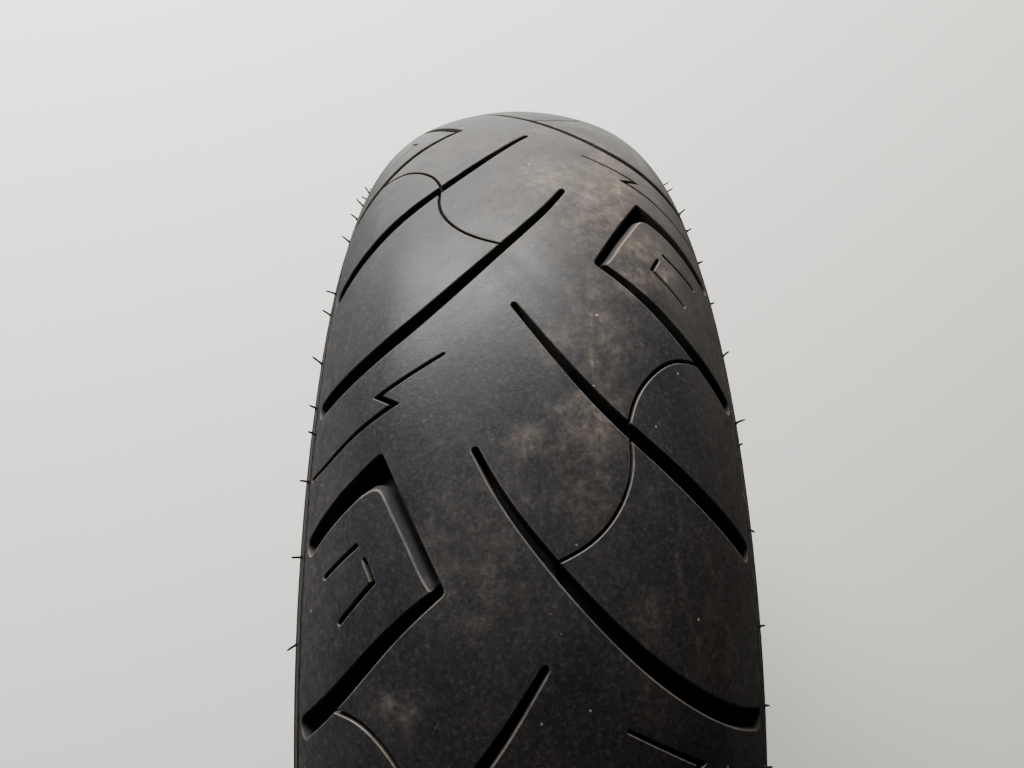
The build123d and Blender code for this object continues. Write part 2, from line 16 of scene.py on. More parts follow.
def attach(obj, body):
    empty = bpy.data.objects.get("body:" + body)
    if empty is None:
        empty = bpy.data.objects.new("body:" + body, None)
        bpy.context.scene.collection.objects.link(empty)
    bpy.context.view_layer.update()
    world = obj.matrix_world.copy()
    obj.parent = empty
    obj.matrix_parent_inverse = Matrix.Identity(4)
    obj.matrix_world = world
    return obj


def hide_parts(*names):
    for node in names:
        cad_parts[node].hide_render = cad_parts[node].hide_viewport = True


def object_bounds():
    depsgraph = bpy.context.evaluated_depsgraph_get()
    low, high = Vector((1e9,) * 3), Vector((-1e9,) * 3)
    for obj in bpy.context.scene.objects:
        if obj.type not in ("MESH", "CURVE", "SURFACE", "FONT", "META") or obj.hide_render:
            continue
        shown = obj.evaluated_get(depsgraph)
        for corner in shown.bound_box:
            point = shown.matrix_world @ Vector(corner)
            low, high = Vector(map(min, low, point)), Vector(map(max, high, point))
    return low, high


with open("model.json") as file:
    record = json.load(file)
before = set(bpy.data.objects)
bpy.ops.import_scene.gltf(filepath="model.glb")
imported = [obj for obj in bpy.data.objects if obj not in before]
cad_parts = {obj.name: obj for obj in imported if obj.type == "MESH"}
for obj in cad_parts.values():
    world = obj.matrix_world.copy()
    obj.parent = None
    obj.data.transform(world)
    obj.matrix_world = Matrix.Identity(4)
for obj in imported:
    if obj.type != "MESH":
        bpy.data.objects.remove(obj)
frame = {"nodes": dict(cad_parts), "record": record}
cad_low, cad_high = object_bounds()
rng = random.Random(7)

# Section of the tire, as in the CAD part
OUTER_R = 326.0
CROWN_R = 135.0
CROWN_END = math.radians(20.0)
SHOULDER_R = 66.0
SHOULDER_END = math.radians(72.0)
TREAD_END = math.radians(66.0)
UPPER_R = 48.0
LOWER_R = 65.0
CROWN_C = (0.0, OUTER_R - CROWN_R)
CROWN_ARC = CROWN_R * CROWN_END
SHOULDER_C = (
    (CROWN_R - SHOULDER_R) * math.sin(CROWN_END),
    CROWN_C[1] + (CROWN_R - SHOULDER_R) * math.cos(CROWN_END),
)
UPPER_C = (
    SHOULDER_C[0] + (SHOULDER_R - UPPER_R) * math.sin(SHOULDER_END),
    SHOULDER_C[1] + (SHOULDER_R - UPPER_R) * math.cos(SHOULDER_END),
)
HALF_WIDTH = UPPER_C[0] + UPPER_R
LOWER_C = (HALF_WIDTH - LOWER_R, UPPER_C[1])
EDGE_T = CROWN_ARC + SHOULDER_R * (TREAD_END - CROWN_END)

# Pattern layout
PITCHES = 8
PITCH = 2 * math.pi * OUTER_R / PITCHES
RIGHT_START = -130.0
LEFT_START = RIGHT_START - PITCH / 2
GROOVE_DEPTH = 7.0
SIPE_DEPTH = 4.0
END_DEPTH = 4.0
EASE_FROM = 60.0
EASE_OVER = 34.0
GROOVE_CORNER = 2.2
SIPE_CORNER = 0.35
LINE_STEP = 2.6
BEVEL_STEP = 1.6
SEAM_STEP = 4.6
SIDE_STEPS = 56
GRID_GAP = 5.0

# Casing surface that the tread and the sidewalls are bonded on
CASING_A = HALF_WIDTH - 4.0
CASING_TOP = OUTER_R - 12.4
CASING_C_R = 256.0
CASING_UPPER_R = 37.0
CASING_LOWER_R = 39.1


def section(t):
    """Axial place, radius and tilt of the outer surface at arc lengths t."""
    reach = np.abs(t)
    sign = np.where(t < 0, -1.0, 1.0)
    crown = reach <= CROWN_ARC
    phi = np.where(crown, reach / CROWN_R, CROWN_END + (reach - CROWN_ARC) / SHOULDER_R)
    a = np.where(crown, CROWN_R * np.sin(phi), SHOULDER_C[0] + SHOULDER_R * np.sin(phi))
    r = np.where(crown, CROWN_C[1] + CROWN_R * np.cos(phi), SHOULDER_C[1] + SHOULDER_R * np.cos(phi))
    return a * sign, r, phi * sign


def on_surface(s, t, d=0.0):
    """Points in metres and unit normals of the tread surface, d below it."""
    s = np.asarray(s, float)
    t = np.asarray(t, float)
    a, r, phi = section(t)
    theta = s / OUTER_R
    normal = np.stack([np.cos(phi) * np.sin(theta), np.sin(phi), np.cos(phi) * np.cos(theta)], -1)
    base = np.stack([r * np.sin(theta), a, r * np.cos(theta)], -1)
    return (base - normal * np.asarray(d, float)[..., None]) * 0.001, normal


def smooth_line(points, spacing):
    """Natural cubic curve through points, resampled at an even spacing."""
    pts = np.array(points, float)
    if len(pts) == 2:
        length = np.hypot(*(pts[1] - pts[0]))
        n = max(2, int(round(length / spacing)) + 1)
        share = np.linspace(0, 1, n)[:, None]
        return pts[0] * (1 - share) + pts[1] * share
    knot = np.concatenate([[0], np.cumsum(np.hypot(*np.diff(pts, axis=0).T))])
    count = len(pts)
    h = np.diff(knot)
    system = np.eye(count)
    right = np.zeros((count, 2))
    for i in range(1, count - 1):
        system[i, i - 1:i + 2] = (h[i - 1], 2 * (h[i - 1] + h[i]), h[i])
        right[i] = 6 * ((pts[i + 1] - pts[i]) / h[i] - (pts[i] - pts[i - 1]) / h[i - 1])
    bend = np.linalg.solve(system, right)
    n = max(3, int(round(knot[-1] / spacing)) + 1)
    u = np.linspace(0, knot[-1], n)
    i = np.clip(np.searchsorted(knot, u, side="right") - 1, 0, count - 2)
    x0 = (u - knot[i])[:, None]
    x1 = (knot[i + 1] - u)[:, None]
    hi = h[i][:, None]
    return (
        bend[i] * x1 ** 3 / (6 * hi) + bend[i + 1] * x0 ** 3 / (6 * hi)
        + (pts[i] / hi - bend[i] * hi / 6) * x1 + (pts[i + 1] / hi - bend[i + 1] * hi / 6) * x0
    )


# Middle of the land that runs right across the tread between two pitches, with `s` from the
# start of the right half's pitch
SEAM = [
    (-EDGE_T, -16.0), (-95, -16), (-80, -19.5), (-60, -29), (-44, -41), (-33, -50), (-25, -48),
    (-23, -34), (-25, -14), (-26, 5), (-22, 23), (-12, 40), (4, 54), (16, 65), (30, 76.5), (45, 87),
    (60, 98.5), (80, 109), (95, 112), (EDGE_T, -16.0 + PITCH / 2),
]

# Wall profiles: distance inwards from the edge of a groove, share of its depth, extra depth
GROOVE_WALL = [(-0.5, 0, 0), (-0.05, 0, 0.1), (0.22, 0, 0.62), (0.95, 0.93, 0), (1.35, 1, 0)]
SIPE_WALL = [(-0.35, 0, 0), (-0.02, 0, 0.1), (0.18, 0, 0.5), (0.42, 1, 0)]
BEVEL_WALL = [(-0.6, 0, 0), (0.0, 0, 0.15), (0.5, 0, 0.55), (2.2, 0, 2.6), (3.0, 1, 0)]

# Outward arc length of the two wear bars in the long and short grooves
LONG_BAR = (4.0, 8.5)
SHORT_BAR = (10.0, 17.0)
BAR_RISE = 1.8

# One pitch of the pattern. Each line is a run of legs that meet at corners, given as points
# (outward arc length, length round the crown), with the half widths at the ends of every leg.
GROOVES = [
    (
        [[(-18, 0), (-10, 15), (0, 29.5), (20, 53), (50, 79), (80, 93.5), (90.5, 96.3)]],
        [(1.5, 4.0)], LONG_BAR,
    ),
    ([[(-4, -58), (10, -37), (30, -13), (50, 4.5), (70, 20), (90, 32.7)]], [(1.4, 4.1)], SHORT_BAR),
    (
        [
            [(90.5, -99.7), (53.1, -125.3)], [(51.5, -126.1), (29.2, -81.9)],
            [(30.2, -81.4), (44, -70), (60, -54.5), (76, -40.5), (90, -30.9)],
        ],
        [(3.9, 4.0), (1.5, 1.3), (1.9, 4.2)], None,
    ),
]
SIPES = [
    ([[(70, -42), (59, -40), (47, -31.5), (39, -20), (35, -8)]], [(0.9, 0.75)]),
    ([[(35.7, -4), (35.5, 5), (31, 18.5), (20, 31.5), (6, 39)]], [(0.75, 0.6)]),
    (
        [
            [(29.8, 89.5), (55.4, 102.9)], [(55.4, 102.9), (48.2, 107.3)],
            [(48.2, 107.3), (70, 118.5), (84, 125), (95, 127)],
        ],
        [(0.7, 1.0), (1.15, 1.15), (1.05, 0.8)],
    ),
    ([[(61, -98), (77.5, -87.3)]], [(0.95, 0.95)]),
    ([[(57.5, -93), (53.5, -85.1)], [(53.5, -85.1), (68, -71.3)]], [(0.95, 1.0), (1.0, 0.95)]),
]

# Top edge of the bevel on the block inside the hook, from the arm round the corner to the foot
BEVEL_EDGE = [
    (65.3, -112.1), (61.2, -114.6), (57.6, -116.3), (55.0, -117.0), (53.0, -116.7), (51.6, -115.4),
    (49.8, -112.3), (46.0, -105.2), (40.0, -93.9), (34.6, -83.9), (32.98, -81.6),
]
BEVEL_FLOOR = [(30.2, -81.4), (34.0, -91.0), (51.6, -125.6), (53.1, -125.3), (67.6, -115.4)]


def unit(v):
    """Vectors of length one."""
    return v / np.maximum(np.hypot(v[..., 0], v[..., 1]), 1e-12)[..., None]


def crossing(p, d, q, e):
    """Where the line from p along d meets the line from q along e."""
    share = ((q[0] - p[0]) * e[1] - (q[1] - p[1]) * e[0]) / (d[0] * e[1] - d[1] * e[0])
    return p + share * d


def one_edge(legs, hand, rounding):
    """One edge of a run of legs, neighbouring legs meeting at a rounded corner."""
    edges = []
    for line, half in legs:
        tangent = unit(np.gradient(line, axis=0))
        across = np.stack([-tangent[:, 1], tangent[:, 0]], -1)
        edges.append(line + hand * across * half[:, None])
    done = []
    current = edges[0]
    for second in edges[1:]:
        ahead = unit(current[-1] - current[-2])
        back = unit(second[0] - second[1])
        corner = crossing(current[-1], ahead, second[0], back)
        first_end = corner - ahead * rounding
        last_end = corner - back * rounding
        shares = np.linspace(0, 1, 6 if rounding > 1 else 4)
        bend = [(1 - k) ** 2 * first_end + 2 * k * (1 - k) * corner + k ** 2 * last_end for k in shares]
        done += [current[((current - corner) @ ahead) < -rounding - 0.1], bend]
        current = second[((second - corner) @ back) < -rounding - 0.1]
    return np.concatenate(done + [current])


def cap(centre, tangent, half, count):
    """Blunt rounded end from the left edge round to the right edge."""
    across = np.array([-tangent[1], tangent[0]])
    arc = []
    for k in range(1, count + 1):
        angle = math.pi / 2 - math.pi * k / (count + 1)
        arc.append(centre + half * (tangent * math.cos(angle) * 0.8 + across * math.sin(angle)))
    return np.array(arc)


class Channel:
    """A groove, sipe or bevel on the flat tread: its edge, its wall profile and its depth."""

    def __init__(self, wall, edge, closed, deepest, side, origin, mask=None, bar=None):
        place = np.array([side, 1.0])
        self.edge = edge * place + (0, origin)
        self.closed = closed
        self.wall = wall
        self.deepest = deepest
        self.bar = bar
        self.side = side
        self.mask = self.edge if mask is None else mask * place + (0, origin)
        ahead = np.roll(self.edge, -1, axis=0) - self.edge
        if not closed:
            ahead[-1] = ahead[-2]
        normal = unit(np.stack([-ahead[:, 1], ahead[:, 0]], -1))
        before = np.roll(normal, 1, axis=0)
        if not closed:
            before[0] = normal[0]
        mitre = unit(normal + before)
        stretch = np.clip((mitre * normal).sum(1), 0.45, 1.0)
        inwards = mitre / stretch[:, None]
        probe = self.edge[len(self.edge) // 2] + inwards[len(self.edge) // 2] * 0.2
        if not inside(self.mask, probe[None])[0]:
            inwards = -inwards
        self.inwards = inwards

    def ring(self, reach):
        """The edge moved inwards."""
        return self.edge + self.inwards * reach

    def reach(self, p):
        """Distance inwards from the edge, negative outside."""
        reach = np.full(len(p), -1e9)
        low = self.mask.min(0) - 8
        high = self.mask.max(0) + 8
        near = np.where(((p > low) & (p < high)).all(1))[0]
        q = p[near]
        gap = np.full(len(near), 1e9)
        count = len(self.edge) - (0 if self.closed else 1)
        for i in range(count):
            a = self.edge[i]
            run = self.edge[(i + 1) % len(self.edge)] - a
            length = run @ run
            if length < 1e-9:
                continue
            share = np.clip(((q - a) @ run) / length, 0, 1)
            away = q - a - share[:, None] * run
            gap = np.minimum(gap, np.hypot(away[:, 0], away[:, 1]))
        reach[near] = np.where(inside(self.mask, q), gap, -gap)
        return reach

    def depth(self, p, reach):
        """Depth of the profile at points p."""
        u = p[:, 0] * self.side
        ease = np.clip((np.abs(u) - EASE_FROM) / EASE_OVER, 0, 1)
        full = self.deepest * (1 - ease * (GROOVE_DEPTH - END_DEPTH) / GROOVE_DEPTH)
        if self.bar:
            low, high = self.bar
            full = full - BAR_RISE * np.interp(u, (low - 0.4, low, high, high + 0.4), (0, 1, 1, 0))
        x = [row[0] for row in self.wall]
        snapped = reach
        for level in x:
            snapped = np.where(np.abs(snapped - level) < 0.08, level, snapped)
        share = np.interp(snapped, x, [row[1] for row in self.wall])
        extra = np.interp(snapped, x, [row[2] for row in self.wall])
        return share * full + extra


def channels():
    """Every groove, sipe and bevel of one pitch, as (wall, edge, closed, deepest, mask, bar)."""
    made = []
    for wall, deepest, table in ((GROOVE_WALL, GROOVE_DEPTH, GROOVES), (SIPE_WALL, SIPE_DEPTH, SIPES)):
        for row in table:
            bar = row[2] if len(row) > 2 else None
            legs = []
            for points, (start, end) in zip(row[0], row[1]):
                line = smooth_line(points, LINE_STEP)
                run = np.concatenate([[0], np.cumsum(np.hypot(*np.diff(line, axis=0).T))])
                legs.append((line, start + (end - start) * run / run[-1]))
            rounding = GROOVE_CORNER if wall is GROOVE_WALL else SIPE_CORNER
            left = one_edge(legs, 1, rounding)
            right = one_edge(legs, -1, rounding)
            count = 5 if wall is GROOVE_WALL else 3
            last_line, last_half = legs[-1]
            first_line, first_half = legs[0]
            end = cap(last_line[-1], unit(last_line[-1] - last_line[-2]), last_half[-1], count)
            start = cap(first_line[0], unit(first_line[0] - first_line[1]), first_half[0], count)
            edge = np.concatenate([left, end, right[::-1], start])
            made.append((wall, edge, True, deepest, None, bar))
    edge = smooth_line(BEVEL_EDGE, BEVEL_STEP)
    mask = np.concatenate([edge, np.array(BEVEL_FLOOR, float)])
    made.append((BEVEL_WALL, edge, False, GROOVE_DEPTH, mask, None))
    return made


def inside(poly, p):
    """True for the points p that lie inside a polygon."""
    hit = np.zeros(len(p), bool)
    n = len(poly)
    for i in range(n):
        a = poly[i]
        b = poly[(i + 1) % n]
        if a[1] == b[1]:
            continue
        crosses = (a[1] > p[:, 1]) != (b[1] > p[:, 1])
        at = (b[0] - a[0]) * (p[:, 1] - a[1]) / (b[1] - a[1]) + a[0]
        hit ^= crosses & (p[:, 0] < at)
    return hit


def pitch_cell():
    """Flat mesh of one pitch: points (t, s), triangles, depths, and the lists of border points."""
    seam = smooth_line(SEAM, SEAM_STEP)
    seam[0] = SEAM[0]
    seam[-1] = SEAM[-1]
    seam = seam + (0, RIGHT_START)
    steps = SIDE_STEPS
    rise = np.arange(1, steps) * PITCH / steps
    upper = seam + (0, PITCH)
    left = np.stack([np.full(steps - 1, seam[0, 0]), seam[0, 1] + rise], -1)
    right = np.stack([np.full(steps - 1, seam[-1, 0]), seam[-1, 1] + rise], -1)
    border = np.concatenate([seam, right, upper[::-1], left[::-1]])
    n_seam = len(seam)
    shapes = []
    for side, start in ((1, RIGHT_START), (-1, LEFT_START)):
        for shift in range(-3, 4):
            for wall, edge, closed, deepest, mask, bar in channels():
                shape = Channel(wall, edge, closed, deepest, side, start + shift * PITCH, mask, bar)
                middle = shape.mask.mean(0)
                if inside(border, middle[None])[0]:
                    shapes.append(shape)
    points = [border]
    edges = [(i, (i + 1) % len(border)) for i in range(len(border))]
    count = len(border)
    for shape in shapes:
        for x, _, _ in shape.wall:
            loop = shape.ring(x)
            if x > 0.3:
                loop = loop[shape.reach(loop) > x * 0.8]
            if len(loop) < 3:
                continue
            points.append(loop)
            last = len(loop) if shape.closed and x <= 0.3 else len(loop) - 1
            for i in range(last):
                j = (i + 1) % len(loop)
                if np.hypot(*(loop[j] - loop[i])) < 6:
                    edges.append((count + i, count + j))
            count += len(loop)
        if shape.bar:
            for u in (shape.bar[0] - 0.4, shape.bar[0], shape.bar[1], shape.bar[1] + 0.4):
                near = np.abs(shape.edge[:, 0] * shape.side - u).argsort()[:8]
                centre = shape.edge[near].mean(0)
                across = np.stack([np.full(7, u * shape.side), centre[1] + np.linspace(-4.5, 4.5, 7)], -1)
                points.append(across[shape.reach(across) > 0.2])
                count += len(points[-1])
    ts = np.linspace(-EDGE_T, EDGE_T, int(2 * EDGE_T / GRID_GAP) + 1)[1:-1]
    ss = np.arange(border[:, 1].min(), border[:, 1].max(), GRID_GAP)
    grid = np.array([(t, s + (GRID_GAP / 2 if i % 2 else 0)) for i, t in enumerate(ts) for s in ss])
    grid = grid[inside(border, grid)]
    clear = np.full(len(grid), 1e9)
    for shape in shapes:
        clear = np.minimum(clear, np.where(shape.reach(grid) > 1.4, 1e9, np.abs(shape.reach(grid))))
    for i in range(len(border)):
        a = border[i]
        run = border[(i + 1) % len(border)] - a
        share = np.clip(((grid - a) @ run) / (run @ run), 0, 1)
        away = grid - a - share[:, None] * run
        clear = np.minimum(clear, np.hypot(away[:, 0], away[:, 1]))
    points.append(grid[clear > 2.0])
    flat = np.concatenate(points)
    result = delaunay_2d_cdt([Vector(p) for p in flat], edges, [], 1, 1e-3, True)
    verts = np.array([tuple(v) for v in result[0]])
    tris = np.array([tuple(f) for f in result[2] if len(f) == 3], int)
    tris = tris[inside(border, verts[tris].mean(1))]
    came_from = {}
    for index, sources in enumerate(result[3]):
        for source in sources:
            came_from[source] = index
    lower_ids = [came_from[i] for i in range(n_seam)]
    right_ids = [came_from[n_seam + i] for i in range(steps - 1)]
    upper_ids = [came_from[2 * n_seam + steps - 2 - i] for i in range(n_seam)]
    first_left = 2 * n_seam + steps - 1
    left_ids = [came_from[first_left + steps - 2 - i] for i in range(steps - 1)]
    depth = np.zeros(len(verts))
    land = np.full(len(verts), 1e9)
    floor = np.zeros(len(verts))
    for shape in shapes:
        reach = shape.reach(verts)
        depth = np.maximum(depth, shape.depth(verts, reach))
        floor = np.maximum(floor, reach > shape.wall[-1][0] - 0.06)
        land = np.minimum(land, np.abs(reach))
    # Pale rim along the top edges of grooves and sipes: partly worn rubber, partly a painted highlight
    edge = np.clip(1.0 - land / 0.3, 0, 1) * (depth < 0.7)
    return verts, tris, depth, floor, edge, lower_ids, upper_ids, right_ids, left_ids


def casing_profile():
    """Inner boundary of the tread's section, from its right edge over the crown to its left."""
    arc = CASING_UPPER_R
    shoulder = (CASING_A - arc, CASING_C_R)
    rise = CASING_TOP - shoulder[1]
    crown_r = (shoulder[0] ** 2 + rise ** 2 - arc ** 2) / (2 * (rise - arc))
    crown = (0.0, CASING_TOP - crown_r)
    turn = math.atan2(shoulder[0], shoulder[1] - crown[1])
    half = []
    for phi in np.linspace(math.radians(62.0), turn, 6):
        half.append((shoulder[0] + arc * math.sin(phi), shoulder[1] + arc * math.cos(phi)))
    base_r = crown_r + 3.9
    for phi in np.linspace(math.radians(41.5), 0, 9):
        half.append((base_r * math.sin(phi), crown[1] + base_r * math.cos(phi)))
    return half + [(-a, r) for a, r in reversed(half[:-1])]


def new_object(name, verts, faces, smooth=True):
    """Mesh object riding on the tire."""
    mesh = bpy.data.meshes.new(name)
    mesh.from_pydata([tuple(map(float, v)) for v in verts], [], [tuple(map(int, f)) for f in faces])
    mesh.update()
    if smooth:
        mesh.polygons.foreach_set("use_smooth", [True] * len(mesh.polygons))
    obj = bpy.data.objects.new(name, mesh)
    bpy.context.scene.collection.objects.link(obj)
    return obj


# Places on the tread that carry dust, stains or scuffs, as (s, t, length along s, across t, strength)
PATCHES = {
    "dust": [
        (-252, 23, 34, 17, 1.0), (-292, 44, 20, 14, 0.8), (-262, 40, 24, 12, 0.7), (-171, 27, 14, 13, 0.75),
        (-141, 22, 13, 12, 0.75), (-168, 10, 8, 8, 0.5), (-222, 54, 20, 12, 0.9), (-133, 0, 6, 7, 0.6),
        (-115, 20, 12, 9, 0.5), (-238, -4, 22, 16, 0.5), (-270, 8, 16, 12, 0.6), (-308, -30, 26, 20, 0.45),
        (-47, -44, 7, 8, 0.35), (-77, 40, 8, 7, 0.3), (-205, 40, 9, 5, 0.8), (-196, 26, 12, 8, 0.5),
        (-320, 20, 14, 20, 0.6), (-60, 62, 20, 18, 0.1), (-95, -22, 26, 20, 0.2),
        (180, 30, 34, 18, 0.7), (420, -34, 30, 20, 0.6), (640, 16, 40, 18, 0.7), (860, -20, 30, 24, 0.6),
        (1060, 36, 26, 18, 0.7), (1300, -10, 38, 20, 0.6), (1500, 42, 26, 14, 0.6),
    ],
    "chalk": [
        (-114, 3, 1.5, 2.4, 0.6), (-143, 13, 2, 3, 0.4), (-206, 43, 3, 1.6, 0.9),
        (-48, -43, 3.4, 3.4, 0.35), (760, 12, 5, 4, 0.9),
    ],
    "stain": [
        (-84, 56, 34, 22, 1.0), (-60, 40, 18, 16, 0.6), (930, -60, 40, 20, 0.9), (330, 50, 36, 18, 0.8),
    ],
    "warm": [
        (-30, 45, 70, 60, 0.9), (-20, -15, 45, 45, 0.6), (-150, 82, 110, 26, 1.0),
        (-270, 60, 70, 40, 0.8), (-250, 20, 50, 36, 0.6), (700, 70, 260, 34, 0.8),
        (1250, 66, 200, 32, 0.8),
    ],
}
BAND_FROM = 64.0
BAND_OVER = 30.0


def patches(flat, spots):
    """Sum of soft round patches at points (t, s), going round the tire."""
    whole = 2 * math.pi * OUTER_R
    total = np.zeros(len(flat))
    for s, t, long_s, wide_t, strength in spots:
        ds = (flat[:, 1] - s + whole / 2) % whole - whole / 2
        far = (ds / long_s) ** 2 + ((flat[:, 0] - t) / wide_t) ** 2
        total += strength * np.exp(-far * 1.1)
    return np.minimum(total, 1.0)


def build_tread():
    """Whole tread: eight welded pitches outside, and the surface it is bonded on inside."""
    cell, tris, depth, floor, edge, lower, upper, right, left = pitch_cell()
    on_upper = {v: i for i, v in enumerate(upper)}
    own = np.array([v not in on_upper for v in range(len(cell))])
    local = np.cumsum(own) - 1
    per = int(own.sum())
    flat = []
    d_all = []
    floor_all = []
    edge_all = []
    faces = []
    for k in range(PITCHES):
        flat.append(cell[own] + (0, k * PITCH))
        d_all.append(depth[own])
        floor_all.append(floor[own])
        edge_all.append(edge[own])
        index = np.empty(len(cell), int)
        index[own] = local[own] + k * per
        for v, i in on_upper.items():
            index[v] = local[lower[i]] + ((k + 1) % PITCHES) * per
        faces.append(index[tris])
    flat = np.concatenate(flat)
    d_all = np.concatenate(d_all)
    floor_all = np.concatenate(floor_all)
    edge_all = np.concatenate(edge_all)
    faces = np.concatenate(faces)
    pos, normal = on_surface(flat[:, 1], flat[:, 0], d_all)
    v0, v1, v2 = (pos[faces[:, k]] for k in range(3))
    face_n = np.cross(v1 - v0, v2 - v0)
    flip = (face_n * normal[faces[:, 0]]).sum(1) < 0
    faces[flip] = faces[flip][:, ::-1]
    face_n[flip] *= -1
    size = np.linalg.norm(face_n, axis=1)
    keep = size > 1e-13
    faces = faces[keep]
    face_n = face_n[keep] / size[keep][:, None]
    soft = np.zeros_like(pos)
    for k in range(3):
        np.add.at(soft, faces[:, k], face_n * size[keep][:, None])
    soft /= np.maximum(np.linalg.norm(soft, axis=1), 1e-20)[:, None]
    level = (d_all < 1e-4) | (floor_all > 0.5)
    soft[level] = normal[level]
    ring_right = []
    ring_left = []
    for k in range(PITCHES):
        ring_right += [local[lower[-1]] + k * per] + [local[v] + k * per for v in right]
        ring_left += [local[lower[0]] + k * per] + [local[v] + k * per for v in left]
    n = len(ring_right)
    half_turn = n // PITCHES // 2
    ring_left = [ring_left[(i + half_turn) % n] for i in range(n)]
    theta = flat[ring_right, 1] / OUTER_R
    inner = []
    quads = []
    previous = ring_right
    base = len(pos)
    profile = casing_profile()
    for row, (a, r) in enumerate(profile):
        inner.append(np.stack([r * np.sin(theta), np.full(n, a), r * np.cos(theta)], -1) * 0.001)
        current = [base + row * n + i for i in range(n)]
        quads.append([(previous[i], current[i], current[(i + 1) % n], previous[(i + 1) % n]) for i in range(n)])
        previous = current
    quads.append([(previous[i], ring_left[i], ring_left[(i + 1) % n], previous[(i + 1) % n]) for i in range(n)])
    all_pos = np.concatenate([pos] + inner)
    quad_faces = [q for row in quads for q in row]
    polygons = [tuple(f) for f in faces.tolist()] + quad_faces
    obj = new_object("tread_detail", all_pos, polygons)
    mesh = obj.data
    normals = []
    for k in range(3):
        own_n = soft[faces[:, k]]
        agree = (own_n * face_n).sum(1) > 0.72
        normals.append(np.where(agree[:, None], own_n, face_n))
    loop_n = np.stack(normals, 1).reshape(-1, 3)
    mesh.update()
    poly_n = np.empty(len(mesh.polygons) * 3)
    mesh.polygons.foreach_get("normal", poly_n)
    poly_n = poly_n.reshape(-1, 3)[len(faces):]
    rest = np.repeat(poly_n, 4, axis=0)
    mesh.normals_split_custom_set(np.concatenate([loop_n, rest]).tolist())
    # groove darkens the rubber with depth, a painted shade in grooves, sipes and the bevel; edge gives the pale rim,
    # partly wear and partly painted highlight
    marks = [("groove", np.minimum(d_all / 1.6, 1.0)), ("edge", edge_all)]
    marks += [(name, patches(flat, spots)) for name, spots in PATCHES.items()]
    marks.append(("band", np.clip((np.abs(flat[:, 0]) - BAND_FROM) / BAND_OVER, 0, 1)))
    for name, values in marks:
        layer = mesh.attributes.new(name, "FLOAT", "POINT")
        layer.data.foreach_set("value", np.concatenate([values, np.zeros(len(all_pos) - len(pos))]))
    return obj


def arc_points(centre, radius, start, stop, count):
    """Section points on an arc between two section angles in degrees."""
    phi = np.radians(np.linspace(start, stop, count))
    return np.stack([centre[0] + radius * np.sin(phi), centre[1] + radius * np.cos(phi)], -1)


# Hidden back of the sidewall, against the casing
RIM_HALF = 50.8
FILLET = 8.0
CHAFER = 1.2
PLY = 1.0
SKIRT = 1.3
FILLET_A = RIM_HALF + FILLET
FILLET_R = LOWER_C[1] - math.sqrt((LOWER_R + FILLET) ** 2 - (FILLET_A - LOWER_C[0]) ** 2)
FLANGE_TANGENT = math.degrees(math.atan2(FILLET_A - LOWER_C[0], FILLET_R - LOWER_C[1]))
CORNER_R = 190.1 + CHAFER + 2 * PLY + 1.5

# Raised rings on the sidewall as (section angle, half span in degrees, height), and its ribbed band
RINGS = [
    (74.5, 0.5, 0.45), (79.0, 0.8, 0.6), (104.0, 0.8, 0.6),
    (122.0, 0.5, 0.4), (126.0, 0.5, 0.4), (138.0, 1.3, 0.8),
]
RIBBED = (81.5, 101.5)
RIB_COUNT = 360
RIB_HEIGHT = 0.28


def wall_height(phi):
    """Height of the raised rings at section angles in degrees."""
    height = np.zeros(len(phi))
    for angle, half, top in RINGS:
        height = np.maximum(height, top * np.clip((half * 1.5 - np.abs(phi - angle)) / (half * 0.6), 0, 1))
    return height


